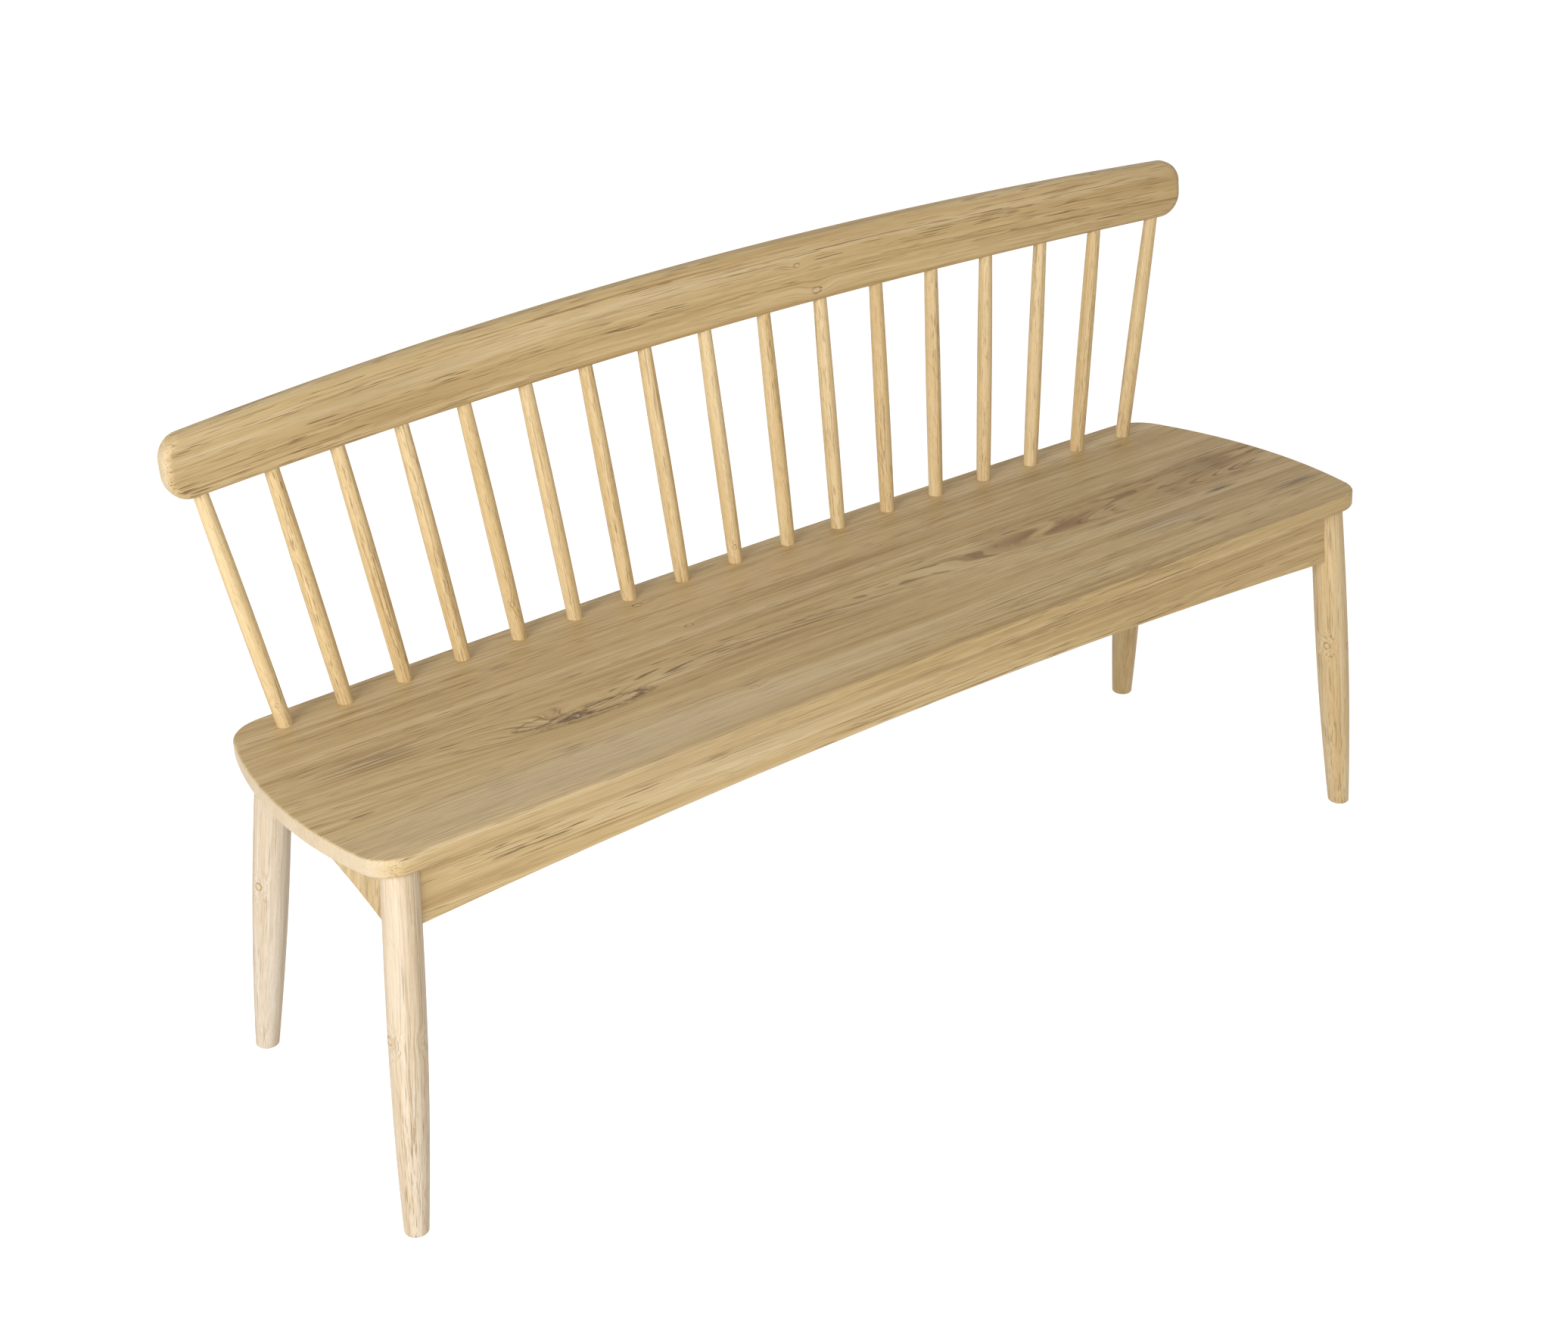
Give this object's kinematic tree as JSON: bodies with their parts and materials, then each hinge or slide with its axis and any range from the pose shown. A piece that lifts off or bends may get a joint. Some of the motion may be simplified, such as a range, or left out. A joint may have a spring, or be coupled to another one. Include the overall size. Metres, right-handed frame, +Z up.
{
  "type": "deacons bench",
  "caption": "Long oak bench with a sloped plank seat, spindle back, bowed crest rail, arched aprons and turned splayed legs.",
  "frame": {"origin": "centre of the bench's bounding box in plan, on the floor under the four feet", "axes": "+X along the bench's length to its right seen from the front, +Y from the front of the seat to the back rest, +Z up from the floor"},
  "size_m": [1.4938, 0.4963, 0.811],
  "materials": {
    "oak": "satin",
    "zinc_steel": "satin"
  },
  "bodies": {
    "root": {"apron_back": "oak", "apron_front": "oak", "apron_left": "oak", "apron_right": "oak", "bolt_nuts": "zinc_steel", "bolt_washers": "zinc_steel", "corner_block_back_left": "oak", "corner_block_back_right": "oak", "corner_block_front_left": "oak", "corner_block_front_right": "oak", "crest_rail": "oak", "cross_rail": "oak", "hanger_bolts": "zinc_steel", "leg_back_left": "oak", "leg_back_right": "oak", "leg_front_left": "oak", "leg_front_right": "oak", "seat_board": "oak", "seat_screws": "zinc_steel", "spindle_01": "oak", "spindle_02": "oak", "spindle_03": "oak", "spindle_04": "oak", "spindle_05": "oak", "spindle_06": "oak", "spindle_07": "oak", "spindle_08": "oak", "spindle_09": "oak", "spindle_10": "oak", "spindle_11": "oak", "spindle_12": "oak", "spindle_13": "oak", "spindle_14": "oak", "spindle_15": "oak", "spindle_16": "oak", "spindle_17": "oak"}
  },
  "joints": []
}
